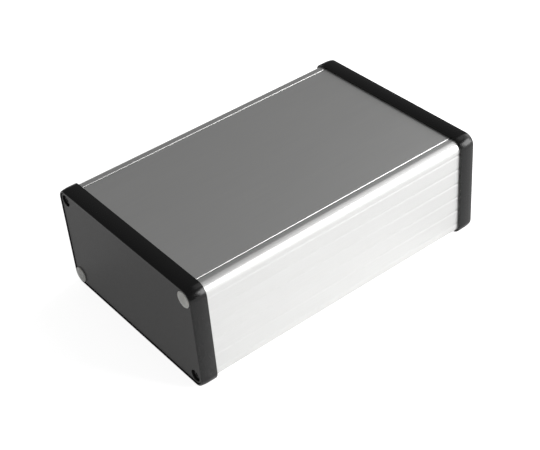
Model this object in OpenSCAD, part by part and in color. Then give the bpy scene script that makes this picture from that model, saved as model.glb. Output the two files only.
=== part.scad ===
// Extruded aluminium enclosure with a sliding cover, moulded end bezels and end panels.
// X runs across the case, Y along it and Z up. The origin is the middle of the footprint.

/* [Body extrusion] */
// Width over the two side walls
body_w = 103; // [90:1:130]
// Height from the base to the top of the cover
body_h = 53; // [46:1:80]
// Length of the extrusion and of its cover
body_l = 160; // [80:5:220]
// Thickness of the base and the side walls
wall_t = 1.3; // [1.1:0.1:1.6]
// Outside radius of the long edges, which the screw ports share their centres with
edge_r = 4.3; // [4:0.1:5]
// Width of the fixed strip that is left beside the cover
strip_w = 6.25; // [5.8:0.05:7]

/* [Screw ports] */
// Bore of each port, where the screw cuts its own thread
port_bore_d = 2.7; // [2.4:0.1:3]
// Width of the slot that opens each port towards the inside
port_slot_w = 1.4; // [1:0.1:1.8]
// How far each port runs into the two walls beside it
port_root = 0.3; // [0.2:0.1:0.6]

/* [Card guides] */
// Distance from one card slot to the next
guide_pitch = 8.1; // [6.5:0.1:10]
// Opening of a slot, for the edge of a board
guide_gap = 1.8; // [1.6:0.1:2.4]
// Thickness of the two ribs beside a slot
guide_rib_t = 1; // [0.8:0.1:1.2]
// Depth of a slot, from the tips of its ribs to the wall
guide_depth = 2.2; // [1.5:0.1:3]

/* [Side flutes] */
// Width of a flute, one of which lies outside each slot
flute_w = 1.6; // [1:0.1:2.4]
// Depth of a flute in the middle
flute_depth = 0.12; // [0.06:0.02:0.3]

/* [Cover] */
// Thickness of the cover in its middle
cover_t = 2.2; // [2:0.1:2.5]
// Thickness of the tongues along its edges
tongue_t = 1.2; // [1:0.1:1.4]
// Reach of each tongue past the upper edge of the cover
tongue_w = 1.65; // [1.3:0.05:2]
// Thickness of the ledge that each tongue slides on
ledge_t = 1.5; // [1.2:0.1:2]
// Open joint between the cover and the strip beside it
cover_joint = 0.5; // [0.3:0.05:0.8]
// Bevel on both sides of that joint
joint_bevel = 0.2; // [0.1:0.05:0.3]

/* [Bezels] */
// Thickness of the skirt that slips over the body
skirt_t = 1.1; // [1:0.1:1.6]
// Length of the skirt over the body
skirt_l = 5.4; // [5:0.2:10]
// Thickness of the flange between panel and body
flange_t = 1; // [0.8:0.1:1.6]
// Width of that flange, inwards from the outside of the body
flange_w = 1.4; // [1.2:0.1:1.6]
// Width of the rim round the panel
rim_w = 1.4; // [1.3:0.1:1.7]
// Height of the rim above the panel
rim_h = 0.4; // [0.2:0.1:0.8]
// Radius of the outer front edge
front_r = 0.6; // [0.3:0.1:0.8]
// Bevel of the inner front edge
rim_bevel = 0.2; // [0.1:0.05:0.3]
// Length of the bowed front part of the outside
bow_l = 4.2; // [3:0.2:6]
// How far the outside bows in at the front
bow_in = 0.55; // [0.3:0.05:0.7]

/* [End panels] */
// Thickness of the plate in front of the flange
plate_t = 1.6; // [1.4:0.1:2.4]
// Bevel round the front of the plate
plate_bevel = 0.3; // [0.1:0.1:0.5]

/* [Screws] */
// Diameter of the pan head
head_d = 5.6; // [5:0.1:6]
// Height of the pan head
head_h = 1.2; // [1:0.1:1.4]
// How deep the head lies below the face of the panel
head_sunk = 0.6; // [0.3:0.1:0.8]
// Length under the head
screw_l = 12; // [9:0.5:16]
// Length of the conical tip
tip_l = 1.5; // [1:0.1:2]
// Width of each arm of the cross recess
cross_w = 0.8; // [0.6:0.1:1]
// Length of each arm of the cross recess, from tip to tip
cross_l = 3; // [2.4:0.1:3.6]
// Depth of the cross recess
cross_depth = 0.7; // [0.5:0.1:0.8]

/* [Screw caps] */
// Height of a cap at its rim
cap_rim_h = 0.6; // [0.4:0.1:1]
// Rise of its crown above the rim
cap_crown = 0.4; // [0.2:0.1:0.6]
// Radius of the edge between rim and crown
cap_edge_r = 0.3; // [0.1:0.05:0.35]

/* [Clearances] */
// Between skirt and body, and between panel and bezel
fit_gap = 0.1; // [0.05:0.05:0.2]
// Between a tongue and its lip
slide_gap = 0.1; // [0.05:0.05:0.2]
// Between the tip of a tongue and the end of its groove
tongue_gap = 0.2; // [0.1:0.05:0.3]
// Between a screw head and its recess, on the radius
head_gap = 0.2; // [0.1:0.05:0.3]
// Between a shank and its hole in the panel, on the radius
hole_gap = 0.4; // [0.2:0.05:0.5]
// Between a shank and the bore of its port, on the radius
port_gap = 0.05; // [0.02:0.01:0.1]

/* [Hidden] */
$fn = 64;
eps = 0.01;
// Cutting shapes run past the faces they cut by this much
over = 1;

// Heights are measured from the middle of the case, which lies this high
mid_z = body_h / 2 + fit_gap + skirt_t;

// The long edges, the ports and every outline of the bezels and panels share these four centres.
// Each outline is given by its distance outwards from them.
port_x = body_w / 2 - edge_r;
port_z = body_h / 2 - edge_r;
boss_r = edge_r - wall_t + port_root;
skirt_in = edge_r + fit_gap;
skirt_out = skirt_in + skirt_t;
pocket = skirt_out - rim_w;
plate_out = pocket - fit_gap;
window = edge_r - flange_w;
pad_out = window - fit_gap;

// Depths behind the front of a bezel
plate_at = rim_h;
flange_at = plate_at + plate_t;
body_at = flange_at + flange_t;
skirt_end = body_at + skirt_l;
end_y = body_l / 2 + body_at;

// Cover and grooves
strip_x = body_w / 2 - strip_w;
cover_x = strip_x - cover_joint;
tongue_x = cover_x + tongue_w;
groove_x = tongue_x + tongue_gap;
seat_z = body_h / 2 - cover_t;
lip_z = seat_z + tongue_t + slide_gap;
ledge_x = port_x - boss_r;

// One flute a pitch as far as the flat of the side wall goes, with a slot inside where the ports leave room
flat_h = body_h - 2 * edge_r;
line_count = floor((flat_h - flute_w) / guide_pitch) + 1;
line_z = [for (i = [0:line_count - 1]) (i - (line_count - 1) / 2) * guide_pitch];
slot_half = guide_gap / 2 + guide_rib_t;
slot_z = [for (z = line_z) if (abs(z) + 2 * slot_half < port_z - boss_r) z];
flute_r = (flute_w * flute_w / 4 + flute_depth * flute_depth) / (2 * flute_depth);

// Screws
shank_r = port_bore_d / 2 - port_gap;
head_at = plate_at + head_sunk;
head_seat = head_at + head_h;
head_round = head_h / 2;

// Caps
cap_r = pocket - fit_gap;
crown_r = (cap_r * cap_r + cap_crown * cap_crown) / (2 * cap_crown);

function arc(centre, r, from, to, steps) = [
    for (i = [0:steps])
        let (a = from + (to - from) * i / steps)
            centre + r * [cos(a), sin(a)]
];

module each_port() {
    for (sx = [-1, 1], sz = [-1, 1])
        translate([sx * port_x, sz * port_z])
            children();
}

// Rectangle round the four port centres, whose rounded corners are centred on them
module outline(out) {
    square([2 * port_x, 2 * (port_z + out)], center = true);
    square([2 * (port_x + out), 2 * port_z], center = true);
    each_port()
        circle(r = out);
}

module both_sides() {
    children();
    mirror([1, 0])
        children();
}

module along_case() {
    translate([0, 0, mid_z])
        rotate([90, 0, 0])
            linear_extrude(height = body_l, center = true)
                children();
}

// ---- body and cover ----

module guide_ribs() {
    wall_x = body_w / 2 - wall_t;
    for (z = slot_z, s = [-1, 1])
        translate([wall_x - guide_depth, z + s * (guide_gap + guide_rib_t) / 2 - guide_rib_t / 2])
            square([guide_depth + wall_t / 2, guide_rib_t]);
}

module cover_strip() {
    translate([ledge_x, seat_z - ledge_t])
        square([port_x - ledge_x, ledge_t]);
    translate([strip_x, seat_z - eps])
        square([port_x - strip_x, body_h / 2 - seat_z + eps]);
}

module cover_opening() {
    top = body_h / 2;
    polygon([
        [-strip_x, seat_z], [strip_x, seat_z],
        [strip_x, top - joint_bevel], [strip_x + joint_bevel + over, top + over],
        [-strip_x - joint_bevel - over, top + over], [-strip_x, top - joint_bevel]
    ]);
}

module flutes() {
    for (z = line_z)
        translate([body_w / 2 + flute_r - flute_depth, z])
            circle(r = flute_r);
}

module port_cut() {
    circle(d = port_bore_d);
    translate([0, -port_slot_w / 2])
        square([boss_r + over, port_slot_w]);
}

module body_section() {
    difference() {
        union() {
            difference() {
                outline(edge_r);
                outline(edge_r - wall_t);
            }
            each_port()
                circle(r = boss_r);
            both_sides() {
                guide_ribs();
                cover_strip();
            }
        }
        cover_opening();
        translate([-groove_x, seat_z])
            square([2 * groove_x, lip_z - seat_z]);
        both_sides()
            flutes();
        for (sx = [-1, 1], sz = [-1, 1])
            translate([sx * port_x, sz * port_z])
                rotate(atan2(-sz, -sx))
                    port_cut();
    }
}

module body_extrusion() {
    color("#e9e9ea")
        along_case()
            body_section();
}

module cover_section() {
    top = body_h / 2;
    shoulder = seat_z + tongue_t;
    polygon([
        [-tongue_x, seat_z], [tongue_x, seat_z], [tongue_x, shoulder],
        [cover_x, shoulder], [cover_x, top - joint_bevel], [cover_x - joint_bevel, top],
        [-cover_x + joint_bevel, top], [-cover_x, top - joint_bevel], [-cover_x, shoulder],
        [-tongue_x, shoulder]
    ]);
}

module cover_plate() {
    color("#8c8e90")
        along_case()
            cover_section();
}

// ---- end pieces, drawn with their front at z = 0 and z running into the case ----

module at_front() {
    translate([0, -end_y, mid_z])
        rotate([-90, 0, 0])
            children();
}

module at_rear() {
    rotate([0, 0, 180])
        at_front()
            children();
}

// Sweeps a profile of distance out from the port centres against depth round all four sides
module swept_round() {
    for (turn = [0, 180])
        rotate([0, 0, turn]) {
            translate([port_x, 0, 0])
                rotate([90, 0, 0])
                    linear_extrude(height = 2 * port_z, center = true)
                        children();
            translate([0, port_z, 0])
                rotate([90, 0, 90])
                    linear_extrude(height = 2 * port_x, center = true)
                        children();
            translate([port_x, port_z, 0])
                rotate_extrude(angle = 90)
                    children();
            translate([-port_x, port_z, 0])
                rotate([0, 0, 90])
                    rotate_extrude(angle = 90)
                        children();
        }
}

// The outside bows in towards the front and runs into a small radius there
module bezel_profile() {
    bow_r = (bow_l * bow_l + bow_in * bow_in) / (2 * bow_in);
    bow_centre = [skirt_out - bow_r, bow_l];
    round_y = front_r;
    round_x = bow_centre[0] + sqrt(pow(bow_r - front_r, 2) - pow(bow_l - round_y, 2));
    meet = atan2(round_y - bow_centre[1], round_x - bow_centre[0]);
    polygon(concat(
        [[skirt_in, skirt_end], [skirt_in, body_at], [window, body_at], [window, flange_at]],
        [[pocket, flange_at], [pocket, rim_bevel], [pocket + rim_bevel, 0]],
        arc([round_x, round_y], front_r, -90, meet, 6),
        arc(bow_centre, bow_r, meet * 5 / 6, 0, 5),
        [[skirt_out, skirt_end]]
    ));
}

module bezel() {
    color("#1b1b1c")
        swept_round()
            bezel_profile();
}

module front_bezel() {
    at_front()
        bezel();
}

module rear_bezel() {
    at_rear()
        bezel();
}

module plate_bevel_cut() {
    edge = plate_out - plate_bevel;
    polygon([
        [edge - over, plate_at - over], [plate_out + over, plate_at - over],
        [plate_out + over, plate_at + plate_bevel + over]
    ]);
}

module end_panel() {
    color("#505051")
        difference() {
            union() {
                translate([0, 0, plate_at])
                    linear_extrude(height = plate_t)
                        outline(plate_out);
                translate([0, 0, flange_at - eps])
                    linear_extrude(height = flange_t + eps)
                        outline(pad_out);
            }
            swept_round()
                plate_bevel_cut();
            each_port() {
                translate([0, 0, plate_at - over])
                    cylinder(r = head_d / 2 + head_gap, h = head_seat - plate_at + over);
                cylinder(r = shank_r + hole_gap, h = body_at + over);
            }
        }
}

module front_end_panel() {
    at_front()
        end_panel();
}

module rear_end_panel() {
    at_rear()
        end_panel();
}

module head_profile() {
    polygon(concat(
        [[0, head_seat], [0, head_at]],
        arc([head_d / 2 - head_round, head_at + head_round], head_round, -90, 0, 6),
        [[head_d / 2, head_seat]]
    ));
}

module screw() {
    color("#141414")
        difference() {
            union() {
                rotate_extrude()
                    head_profile();
                translate([0, 0, head_seat - eps])
                    cylinder(r = shank_r, h = screw_l - tip_l + eps);
                translate([0, 0, head_seat + screw_l - tip_l])
                    cylinder(r1 = shank_r, r2 = shank_r / 4, h = tip_l);
            }
            for (turn = [0, 90])
                rotate([0, 0, turn])
                    translate([-cross_l / 2, -cross_w / 2, head_at - over])
                        cube([cross_l, cross_w, cross_depth + over]);
        }
}

// Ports are counted from the lower left one, along the bottom and then along the top,
// as someone facing that end sees them
module at_port(i) {
    right = (i + 1) % 2;
    upper = floor((i - 1) / 2);
    translate([(2 * right - 1) * port_x, (1 - 2 * upper) * port_z, 0])
        children();
}

module front_screw(i) {
    at_front()
        at_port(i)
            screw();
}

module rear_screw(i) {
    at_rear()
        at_port(i)
            screw();
}

// A low disc that lies on the panel, in the rounded corner of the bezel
module cap() {
    crown_centre = [0, plate_at - cap_rim_h - cap_crown + crown_r];
    edge_x = cap_r - cap_edge_r;
    edge_z = crown_centre[1] - sqrt(pow(crown_r - cap_edge_r, 2) - edge_x * edge_x);
    lean = asin(edge_x / (crown_r - cap_edge_r));
    color("#b4b4b0")
        rotate_extrude()
            polygon(concat(
                [[0, plate_at], [cap_r, plate_at]],
                arc([edge_x, edge_z], cap_edge_r, 0, lean - 90, 5),
                arc(crown_centre, crown_r, lean * 5 / 6 - 90, -90, 5)
            ));
}

module front_cap_1() {
    at_front()
        at_port(1)
            cap();
}

module front_cap_2() {
    at_front()
        at_port(4)
            cap();
}

body_extrusion();
cover_plate();
front_bezel();
rear_bezel();
front_end_panel();
rear_end_panel();
for (i = [1:4]) {
    front_screw(i);
    rear_screw(i);
}
front_cap_1();
front_cap_2();
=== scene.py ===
# Extruded aluminium enclosure: finishes, fine detail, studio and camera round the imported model
import math
import bpy
from mathutils import Matrix, Vector


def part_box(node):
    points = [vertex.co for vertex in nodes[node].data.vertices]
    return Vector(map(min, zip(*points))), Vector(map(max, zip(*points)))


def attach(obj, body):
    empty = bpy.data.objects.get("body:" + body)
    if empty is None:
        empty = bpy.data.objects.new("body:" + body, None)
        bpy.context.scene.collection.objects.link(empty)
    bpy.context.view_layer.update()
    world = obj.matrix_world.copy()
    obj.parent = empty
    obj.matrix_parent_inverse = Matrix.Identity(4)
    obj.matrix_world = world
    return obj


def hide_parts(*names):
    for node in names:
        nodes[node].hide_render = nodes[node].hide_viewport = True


mm = 0.001
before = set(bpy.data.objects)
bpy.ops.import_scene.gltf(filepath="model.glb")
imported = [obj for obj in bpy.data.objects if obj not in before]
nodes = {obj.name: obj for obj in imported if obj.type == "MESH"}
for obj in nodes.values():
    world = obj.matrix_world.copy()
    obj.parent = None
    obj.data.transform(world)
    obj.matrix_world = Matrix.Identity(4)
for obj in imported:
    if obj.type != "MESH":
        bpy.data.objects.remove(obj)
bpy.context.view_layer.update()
print("frame loaded:", len(nodes), "nodes")


def linear(hexColour):
    # sRGB hex to the linear values that shaders take
    values = [int(hexColour[i:i + 2], 16) / 255 for i in (1, 3, 5)]
    curved = [v / 12.92 if v <= 0.04045 else ((v + 0.055) / 1.055) ** 2.4 for v in values]
    return (*curved, 1.0)


def addNode(tree, kind, settings=None, links=None):
    # a key of settings is an input socket if the node has one of that name, and else a property
    node = tree.nodes.new(kind)
    for key, value in (settings or {}).items():
        if isinstance(key, int) or key in node.inputs:
            node.inputs[key].default_value = value
        else:
            setattr(node, key, value)
    for key, output in (links or {}).items():
        tree.links.new(output, node.inputs[key])
    return node


def newMaterial(name):
    material = bpy.data.materials.new(name)
    material.use_nodes = True
    tree = material.node_tree
    tree.nodes.clear()
    shader = addNode(tree, "ShaderNodeBsdfPrincipled")
    addNode(tree, "ShaderNodeOutputMaterial", links={"Surface": shader.outputs[0]})
    return material, tree, shader


def setFinish(shader, **values):
    for name, value in values.items():
        shader.inputs[name.replace("_", " ")].default_value = value


def paint(names, material):
    for name in names:
        nodes[name].material_slots[0].material = material


noiseRange = (0.3, 0.7)           # where most values of a noise lie


def followPattern(tree, shader, look, pattern):
    # colour, gloss and relief all follow one noise
    low, high = look["roughness"]
    tone = addNode(tree, "ShaderNodeMix",
                   {"data_type": "RGBA", 6: linear(look["darker"]), 7: linear(look["colour"])}, {0: pattern})
    gloss = addNode(tree, "ShaderNodeMapRange",
                    {"From Min": noiseRange[0], "From Max": noiseRange[1], "To Min": low, "To Max": high},
                    {"Value": pattern})
    relief = addNode(tree, "ShaderNodeBump", {"Strength": 1.0, "Distance": look["height"]}, {"Height": pattern})
    tree.links.new(tone.outputs[2], shader.inputs["Base Color"])
    tree.links.new(gloss.outputs[0], shader.inputs["Roughness"])
    tree.links.new(relief.outputs[0], shader.inputs["Normal"])


aluminiumLook = {
    "colour": "#eeeeed", "darker": "#e6e6e5", "roughness": (0.40, 0.44),
    "lineWidth": 0.35 * mm,       # die lines, drawn about twice as coarse as real ones so that they show
    "lineLength": 40 * mm,
    "height": 0.002 * mm,
}


def extrudedAluminium(look):
    # 6063 alloy, pressed through a die, etched and clear anodised: a satin metal with faint
    # lines along its length that the die leaves
    material, tree, shader = newMaterial("clearAnodisedAluminium")
    place = addNode(tree, "ShaderNodeTexCoord")
    across, along = 1 / look["lineWidth"], 1 / look["lineLength"]
    stretch = addNode(tree, "ShaderNodeMapping", {"Scale": (across, along, across)},
                      {"Vector": place.outputs["Object"]})
    lines = addNode(tree, "ShaderNodeTexNoise", {"Scale": 1.0, "Detail": 3.0, "Roughness": 0.6},
                    {"Vector": stretch.outputs[0]})
    followPattern(tree, shader, look, lines.outputs["Fac"])
    setFinish(shader, Metallic=1.0)
    return material


def mouldedParts(look):
    # what every moulded or coated piece has: an even fine grain
    material, tree, shader = newMaterial(look["name"])
    place = addNode(tree, "ShaderNodeTexCoord")
    grain = addNode(tree, "ShaderNodeTexNoise", {"Scale": 1 / look["grain"], "Detail": 2.0, "Roughness": 0.5},
                    {"Vector": place.outputs["Object"]})
    followPattern(tree, shader, look, grain.outputs["Fac"])
    setFinish(shader, IOR=1.5, Specular_IOR_Level=look.get("specular", 0.5))
    return material, tree, shader


def mouldedPlastic(look):
    # ABS, injection moulded in a spark-eroded tool: dark, with the soft gloss of a fine grain
    return mouldedParts(look)[0]


bezelLook = {
    "name": "blackMouldedAbs", "colour": "#0a0a0a", "darker": "#060607", "roughness": (0.22, 0.28),
    "grain": 0.5 * mm, "height": 0.006 * mm, "specular": 0.42,
}
panelLook = {
    "name": "darkGreyPanel", "colour": "#353433", "darker": "#2e2d2c", "roughness": (0.36, 0.44),
    "grain": 0.5 * mm, "height": 0.006 * mm,
}
screwLook = {
    "name": "blackenedSteel", "colour": "#424242", "darker": "#323232", "roughness": (0.30, 0.45),
    "grain": 0.3 * mm, "height": 0.004 * mm,
}
capLook = {
    "name": "cloudyPolyethylene", "colour": "#fbfbf5", "darker": "#f3f3ed", "roughness": (0.28, 0.36),
    "grain": 0.8 * mm, "height": 0.003 * mm,
    "cloud": 0.35, "cloudDepth": 0.4 * mm,      # share of light that goes in, and how far
    "cloudColours": (1.0, 0.96, 0.9),
    # painted shade: within the first distance of the cap's middle the colour is darkened to the level given,
    # and from the second distance out it is full
    "middleWithin": 1.8 * mm, "rimFrom": 3.7 * mm, "middleLevel": 0.90,
}


def cloudyPlastic(look, centre):
    # low-density polyethylene, moulded without pigment: waxy, and milky because light scatters inside it;
    # its colour is painted darker towards the middle, a painted shade for the dark screw below showing through
    material, tree, shader = mouldedParts(look)
    setFinish(shader, Subsurface_Weight=look["cloud"], Subsurface_Scale=look["cloudDepth"],
              Subsurface_Radius=look["cloudColours"])
    place = addNode(tree, "ShaderNodeTexCoord")
    flat = addNode(tree, "ShaderNodeVectorMath", {"operation": "MULTIPLY", 1: (1, 0, 1)},
                   {0: place.outputs["Object"]})
    reach = addNode(tree, "ShaderNodeVectorMath", {"operation": "DISTANCE", 1: (centre.x, 0, centre.z)},
                    {0: flat.outputs[0]})
    # painted shade: a mask that darkens the cap's colour towards its middle and leaves the rim at full colour
    light = addNode(tree, "ShaderNodeMapRange",
                    {"From Min": look["middleWithin"], "From Max": look["rimFrom"],
                     "To Min": look["middleLevel"], "To Max": 1.0}, {"Value": reach.outputs["Value"]})
    tone = shader.inputs["Base Color"].links[0].from_socket
    shaded = addNode(tree, "ShaderNodeMix", {"data_type": "RGBA", 6: linear("#000000")},
                     {0: light.outputs[0], 7: tone})
    tree.links.new(shaded.outputs[2], shader.inputs["Base Color"])
    return material


def blackenedSteel(look):
    # steel screws, blackened in a hot salt bath: a dark oxide that keeps a weak metallic sheen
    material, tree, shader = mouldedParts(look)
    setFinish(shader, Metallic=1.0)
    return material


screwNames = [name for name in nodes if "_screw_" in name]
capNames = [name for name in nodes if "_cap_" in name]
paint(["body_extrusion", "cover_plate"], extrudedAluminium(aluminiumLook))
paint(["front_bezel", "rear_bezel"], mouldedPlastic(bezelLook))
paint(["front_end_panel", "rear_end_panel"], mouldedPlastic(panelLook))
screwSteel = blackenedSteel(screwLook)
paint(screwNames, screwSteel)
for name in capNames:
    low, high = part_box(name)
    paint([name], cloudyPlastic(dict(capLook, name=capLook["name"] + name[-1]), (low + high) / 2))
print("materials done")


def only(thing):
    # operators act on all that is selected
    bpy.ops.object.select_all(action="DESELECT")
    thing.select_set(True)
    bpy.context.view_layer.objects.active = thing


def chooseFaces(thing, test):
    # leaves edit mode open with just the faces selected whose centre and normal pass the test
    bpy.ops.object.mode_set(mode="EDIT")
    bpy.ops.mesh.select_mode(type="FACE")
    bpy.ops.mesh.select_all(action="DESELECT")
    bpy.ops.object.mode_set(mode="OBJECT")
    for face in thing.data.polygons:
        face.select = test(face.center, face.normal)
    bpy.ops.object.mode_set(mode="EDIT")


def applyModifier(thing, kind, **values):
    modifier = thing.modifiers.new(kind.title(), kind)
    for key, value in values.items():
        setattr(modifier, key, value)
    only(thing)
    bpy.ops.object.modifier_apply(modifier=modifier.name)


def standFor(piece, name):
    piece.name = name + "Form"
    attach(piece, "root")
    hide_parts(name)


smoothing = {
    "mergeWithin": 0.001 * mm,
    "flatWithin": math.radians(0.05),
    "smoothBelow": math.radians(28),
    "sharpAbove": math.radians(40),
    "bezelEdge": 0.08 * mm,                     # width of the bezels' broken edges
}


def smoothForm(name, edge=0.0):
    # the same form as the solid, merged and shaded smooth, with its sharp edges broken by that width
    source = nodes[name]
    piece = bpy.data.objects.new(name + "Form", source.data.copy())
    piece.data.transform(source.matrix_world)
    bpy.context.scene.collection.objects.link(piece)
    only(piece)
    bpy.ops.object.mode_set(mode="EDIT")
    bpy.ops.mesh.select_all(action="SELECT")
    bpy.ops.mesh.remove_doubles(threshold=smoothing["mergeWithin"])
    bpy.ops.mesh.normals_make_consistent(inside=False)
    if edge:
        bpy.ops.mesh.dissolve_limited(angle_limit=smoothing["flatWithin"])
    bpy.ops.object.mode_set(mode="OBJECT")
    if edge:
        applyModifier(piece, "BEVEL", width=edge, segments=2, limit_method="ANGLE",
                      angle_limit=smoothing["sharpAbove"])
    only(piece)
    bpy.ops.object.shade_smooth_by_angle(angle=smoothing["smoothBelow"])
    standFor(piece, name)


for name in ("front_bezel", "rear_bezel"):
    smoothForm(name, smoothing["bezelEdge"])
for name in capNames:
    smoothForm(name)
smoothForm("body_extrusion")
print("smooth forms done")

screwShape = {
    "headHeight": 1.2 * mm, "wall": 0.35 * mm, "domeRings": 4, "domeTurn": math.radians(74), "sides": 48,
    "coreRadius": 1.05 * mm, "tip": 1.5 * mm, "tipRadius": 0.35 * mm,
    "crest": 1.33 * mm, "pitch": 0.95 * mm, "threadStart": 1.6 * mm, "threadSteps": 24,
    "ridgeShare": 1.5,                          # size of the thread's bar to its height over the core
    "crossLength": 3.2 * mm, "crossWidth": 0.75 * mm, "crossDepth": 0.8 * mm, "crossTaper": 0.45,
    "smoothBelow": math.radians(32),
}


def screwHeadAndCore(headRadius, length):
    # stands on +Z with the top of its head at the origin
    shape = screwShape
    dome = shape["headHeight"] - shape["wall"]
    bpy.ops.object.select_all(action="DESELECT")
    bpy.ops.mesh.primitive_cylinder_add(vertices=shape["sides"], radius=headRadius, depth=shape["wall"],
                                        location=(0, 0, -dome - shape["wall"] / 2))
    screw = bpy.context.object
    bpy.ops.object.transform_apply(location=True, rotation=False, scale=False)
    chooseFaces(screw, lambda centre, normal: normal.z > 0.9)
    # an arc of an ellipse, from the wall up to the middle
    turns = [shape["domeTurn"] * k / shape["domeRings"] for k in range(shape["domeRings"] + 1)]
    for turn, nextTurn in zip(turns, turns[1:]):
        bpy.ops.mesh.inset(thickness=headRadius * (math.cos(turn) - math.cos(nextTurn)))
        rise = dome * (math.sin(nextTurn) - math.sin(turn)) / math.sin(shape["domeTurn"])
        bpy.ops.transform.translate(value=(0, 0, rise))
    bpy.ops.object.mode_set(mode="OBJECT")
    chooseFaces(screw, lambda centre, normal: normal.z < -0.9)
    bpy.ops.mesh.inset(thickness=headRadius - shape["coreRadius"])
    straight = length - shape["headHeight"] - shape["tip"]
    bpy.ops.mesh.extrude_region_move(TRANSFORM_OT_translate={"value": (0, 0, -straight)})
    bpy.ops.mesh.extrude_region_move(TRANSFORM_OT_translate={"value": (0, 0, -shape["tip"])})
    share = shape["tipRadius"] / shape["coreRadius"]
    bpy.ops.transform.resize(value=(share, share, 1))
    bpy.ops.object.mode_set(mode="OBJECT")
    return screw


def crossRecess(screw):
    # two tapered bars, cut out of the head one after the other
    shape = screwShape
    long, narrow = shape["crossLength"], shape["crossWidth"]
    for size in ((long, narrow), (narrow, long)):
        bpy.ops.object.select_all(action="DESELECT")
        bpy.ops.mesh.primitive_cube_add(size=1, scale=(*size, 2 * shape["crossDepth"]))
        bar = bpy.context.object
        bpy.ops.object.transform_apply(location=False, rotation=False, scale=True)
        chooseFaces(bar, lambda centre, normal: normal.z < -0.9)
        bpy.ops.transform.resize(value=(shape["crossTaper"], shape["crossTaper"], 1))
        bpy.ops.object.mode_set(mode="OBJECT")
        applyModifier(screw, "BOOLEAN", operation="DIFFERENCE", object=bar, solver="EXACT")
        bpy.data.objects.remove(bar)


def threadRidge(length):
    # a three-sided bar wound round the core, closed at both ends
    shape = screwShape
    size = (shape["crest"] - shape["coreRadius"]) * shape["ridgeShare"]
    start = shape["headHeight"] + shape["threadStart"]
    turns = int((length - start - shape["tip"]) / shape["pitch"])
    bpy.ops.object.select_all(action="DESELECT")
    bpy.ops.mesh.primitive_circle_add(vertices=3, radius=size, rotation=(math.radians(90), 0, 0))
    ridge = bpy.context.object
    bpy.ops.object.transform_apply(location=False, rotation=True, scale=False)
    # one corner points outward
    ridge.data.transform(Matrix.Rotation(math.radians(90), 4, "Y"))
    ridge.data.transform(Matrix.Translation((shape["crest"] - size, 0, -start)))
    applyModifier(ridge, "SCREW", angle=math.radians(360), screw_offset=-shape["pitch"], iterations=turns,
                  steps=shape["threadSteps"], render_steps=shape["threadSteps"], axis="Z",
                  use_smooth_shade=False)
    bpy.ops.object.mode_set(mode="EDIT")
    bpy.ops.mesh.select_all(action="SELECT")
    bpy.ops.mesh.remove_doubles(threshold=smoothing["mergeWithin"])
    bpy.ops.mesh.fill_holes(sides=3)
    bpy.ops.object.mode_set(mode="OBJECT")
    return ridge


def detailedScrews():
    # modelled once from the first screw's size, then a copy at each place
    low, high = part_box("front_screw_1")
    length = high.y - low.y
    screw = screwHeadAndCore((high.x - low.x) / 2, length)
    crossRecess(screw)
    ridge = threadRidge(length)
    only(screw)
    ridge.select_set(True)
    bpy.ops.object.join()
    bpy.ops.object.mode_set(mode="EDIT")
    bpy.ops.mesh.select_all(action="SELECT")
    bpy.ops.mesh.normals_make_consistent(inside=False)
    bpy.ops.object.mode_set(mode="OBJECT")
    bpy.ops.object.shade_smooth_by_angle(angle=screwShape["smoothBelow"])
    screw.data.materials.clear()
    screw.data.materials.append(screwSteel)
    for name in screwNames:
        low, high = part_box(name)
        front = name.startswith("front")
        top = Vector(((low.x + high.x) / 2, low.y if front else high.y, (low.z + high.z) / 2))
        turn = Matrix.Rotation(math.radians(90 if front else -90), 4, "X")
        piece = bpy.data.objects.new(name + "Form", screw.data.copy())
        piece.data.transform(Matrix.Translation(top) @ turn)
        bpy.context.scene.collection.objects.link(piece)
        standFor(piece, name)
    bpy.data.objects.remove(screw)


detailedScrews()
print("screws done")

studio = {
    "floorColour": "#f4f4f4",
    "floorSize": 8.0,
    "liftSeen": 0.86,         # added to the lit paper for the camera, so that the background is white
    "liftMirrored": 0.36,     # and for reflections
    "roomLevel": 0.17,
    "distance": 1.6,          # of each softbox from the middle of the floor
    "boxSize": 1.0,           # side of each, in metres as the rest
    # azimuth from +X towards +Y, height over the floor in degrees, power in watts
    "softboxes": {"right": (45, 20, 22.4), "behind": (90, 20, 7.5), "above": (90, 50, 2.5)},
}

plainWhite = (1.0, 1.0, 1.0, 1.0)


def buildFloor():
    # white paper, a little brighter to the eye than its light makes it, so that only a soft shadow shows
    bpy.ops.mesh.primitive_plane_add(size=studio["floorSize"], location=(0, 0, 0))
    floor = bpy.context.object
    floor.name = "studioFloor"
    material = bpy.data.materials.new("paperFloor")
    material.use_nodes = True
    tree = material.node_tree
    tree.nodes.clear()
    paper = addNode(tree, "ShaderNodeBsdfDiffuse", {"Color": linear(studio["floorColour"])})
    path = addNode(tree, "ShaderNodeLightPath")
    straight = addNode(tree, "ShaderNodeMath", {"operation": "ADD"},
                       {0: path.outputs["Is Camera Ray"], 1: path.outputs["Is Transmission Ray"]})
    seen = addNode(tree, "ShaderNodeMath", {"operation": "MULTIPLY", 1: studio["liftSeen"]},
                   {0: straight.outputs[0]})
    mirrored = addNode(tree, "ShaderNodeMath", {"operation": "MULTIPLY", 1: studio["liftMirrored"]},
                       {0: path.outputs["Is Glossy Ray"]})
    level = addNode(tree, "ShaderNodeMath", {"operation": "MAXIMUM"},
                    {0: seen.outputs[0], 1: mirrored.outputs[0]})
    lift = addNode(tree, "ShaderNodeEmission", {"Color": plainWhite}, {"Strength": level.outputs[0]})
    lifted = addNode(tree, "ShaderNodeAddShader", links={0: paper.outputs[0], 1: lift.outputs[0]})
    addNode(tree, "ShaderNodeOutputMaterial", links={"Surface": lifted.outputs[0]})
    floor.data.materials.append(material)


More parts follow.
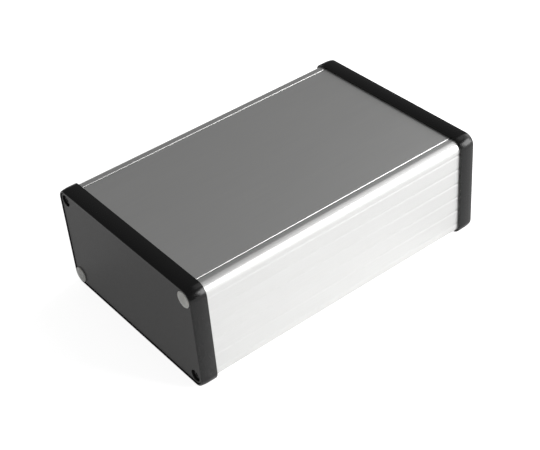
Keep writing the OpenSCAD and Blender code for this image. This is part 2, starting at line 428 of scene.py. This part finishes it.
def buildWorld():
    world = bpy.data.worlds.new("studioWorld")
    bpy.context.scene.world = world
    world.use_nodes = True
    tree = world.node_tree
    tree.nodes.clear()
    # white where the camera looks past the floor, and a dim room for the light
    room = addNode(tree, "ShaderNodeBackground", {"Color": plainWhite, "Strength": studio["roomLevel"]})
    white = addNode(tree, "ShaderNodeBackground", {"Color": plainWhite, "Strength": 1.0})
    path = addNode(tree, "ShaderNodeLightPath")
    mix = addNode(tree, "ShaderNodeMixShader",
                  links={0: path.outputs["Is Camera Ray"], 1: room.outputs[0], 2: white.outputs[0]})
    addNode(tree, "ShaderNodeOutputWorld", links={"Surface": mix.outputs[0]})


def softbox(name, azimuth, height, power):
    # a square lamp that faces the middle of the floor
    lamp = bpy.data.lights.new(name, "AREA")
    lamp.shape = "SQUARE"
    lamp.size = studio["boxSize"]
    lamp.energy = power
    thing = bpy.data.objects.new(name, lamp)
    bpy.context.scene.collection.objects.link(thing)
    turn, rise = math.radians(azimuth), math.radians(height)
    towards = Vector((math.cos(turn) * math.cos(rise), math.sin(turn) * math.cos(rise), math.sin(rise)))
    thing.location = towards * studio["distance"]
    thing.rotation_euler = (-towards).to_track_quat("-Z", "Y").to_euler()


buildFloor()
buildWorld()
for name, values in studio["softboxes"].items():
    softbox(name + "Softbox", *values)
bpy.context.scene.view_settings.view_transform = "Standard"
print("studio done")

cameraSet = {
    "place": (0.3859, -0.2771, 0.3859),
    "looks": (-0.64347, 0.45888, -0.61268),   # direction of view
    "roll": 5.2,                              # degrees
    "lens": 82.56, "sensor": 36,              # millimetres
}


def buildCamera():
    data = bpy.data.cameras.new("camera")
    data.lens = cameraSet["lens"]
    data.sensor_width = cameraSet["sensor"]
    data.dof.use_dof = False
    camera = bpy.data.objects.new("camera", data)
    bpy.context.scene.collection.objects.link(camera)
    turn = Vector(cameraSet["looks"]).to_track_quat("-Z", "Y").to_matrix()
    roll = Matrix.Rotation(math.radians(-cameraSet["roll"]), 3, "Z")
    camera.matrix_world = Matrix.Translation(cameraSet["place"]) @ (turn @ roll).to_4x4()
    bpy.context.scene.camera = camera


buildCamera()
print("camera done")
